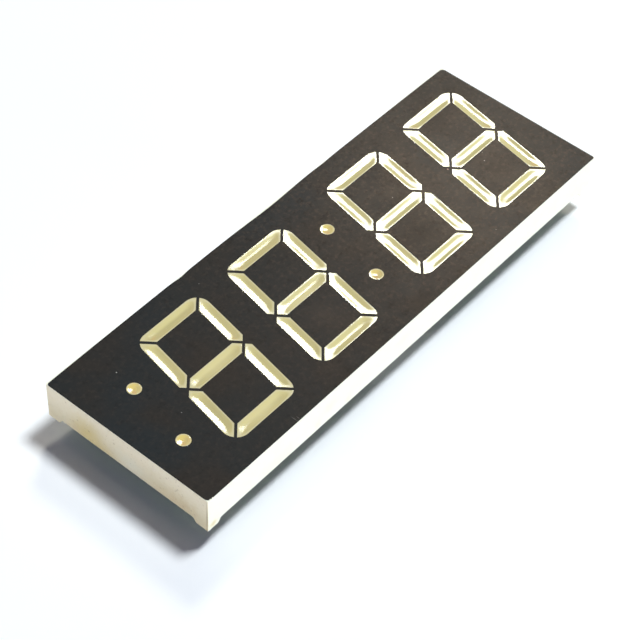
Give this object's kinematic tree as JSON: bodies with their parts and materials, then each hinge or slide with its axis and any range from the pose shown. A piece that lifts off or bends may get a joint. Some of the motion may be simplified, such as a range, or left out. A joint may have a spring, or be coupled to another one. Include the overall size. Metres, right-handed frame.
{
  "type": "seven segment display module",
  "caption": "Slim LED display block with slanted seven segment digits and colons in a printed face, on corner feet, with two rows of round pins below.",
  "frame": {"origin": "centre of the seating plane under the four corner feet, midway between the two rows of pins", "axes": "+X along the digits in reading order, +Y towards the tops of the digits, +Z out of the printed face"},
  "size_m": [0.1204, 0.0406, 0.0141],
  "materials": {
    "housing_plastic": "moulded, fine matt texture, yellowed with age",
    "face_ink": "screen printed, satin",
    "board_laminate": "solder mask over glass-epoxy laminate",
    "seal_resin": "cast, glossy",
    "solder": "bright solder",
    "window_resin": "cast, milky, glossy, dished surface",
    "dot_resin": "cast, milky, glossy, dished surface",
    "led_die": "sawn semiconductor",
    "pin_metal": "tinned wire"
  },
  "bodies": {
    "root": {"housing": "housing_plastic", "face_print": "face_ink", "circuit_board": "board_laminate", "edge_seal": "seal_resin", "solder_joints": "solder", "digit_1_segment_a": "window_resin", "digit_1_segment_b": "window_resin", "digit_1_segment_c": "window_resin", "digit_1_segment_d": "window_resin", "digit_1_segment_e": "window_resin", "digit_1_segment_f": "window_resin", "digit_1_segment_g": "window_resin", "digit_2_segment_a": "window_resin", "digit_2_segment_b": "window_resin", "digit_2_segment_c": "window_resin", "digit_2_segment_d": "window_resin", "digit_2_segment_e": "window_resin", "digit_2_segment_f": "window_resin", "digit_2_segment_g": "window_resin", "digit_3_segment_a": "window_resin", "digit_3_segment_b": "window_resin", "digit_3_segment_c": "window_resin", "digit_3_segment_d": "window_resin", "digit_3_segment_e": "window_resin", "digit_3_segment_f": "window_resin", "digit_3_segment_g": "window_resin", "digit_4_segment_a": "window_resin", "digit_4_segment_b": "window_resin", "digit_4_segment_c": "window_resin", "digit_4_segment_d": "window_resin", "digit_4_segment_e": "window_resin", "digit_4_segment_f": "window_resin", "digit_4_segment_g": "window_resin", "colon_1_upper_dot": "dot_resin", "colon_1_lower_dot": "dot_resin", "colon_2_upper_dot": "dot_resin", "colon_2_lower_dot": "dot_resin", "digit_1_leds": "led_die", "digit_2_leds": "led_die", "digit_3_leds": "led_die", "digit_4_leds": "led_die", "colon_leds": "led_die", "pin_1": "pin_metal", "pin_2": "pin_metal", "pin_3": "pin_metal", "pin_4": "pin_metal", "pin_5": "pin_metal", "pin_6": "pin_metal", "pin_7": "pin_metal", "pin_8": "pin_metal", "pin_9": "pin_metal", "pin_10": "pin_metal", "pin_11": "pin_metal", "pin_12": "pin_metal", "pin_13": "pin_metal", "pin_14": "pin_metal"}
  },
  "joints": []
}
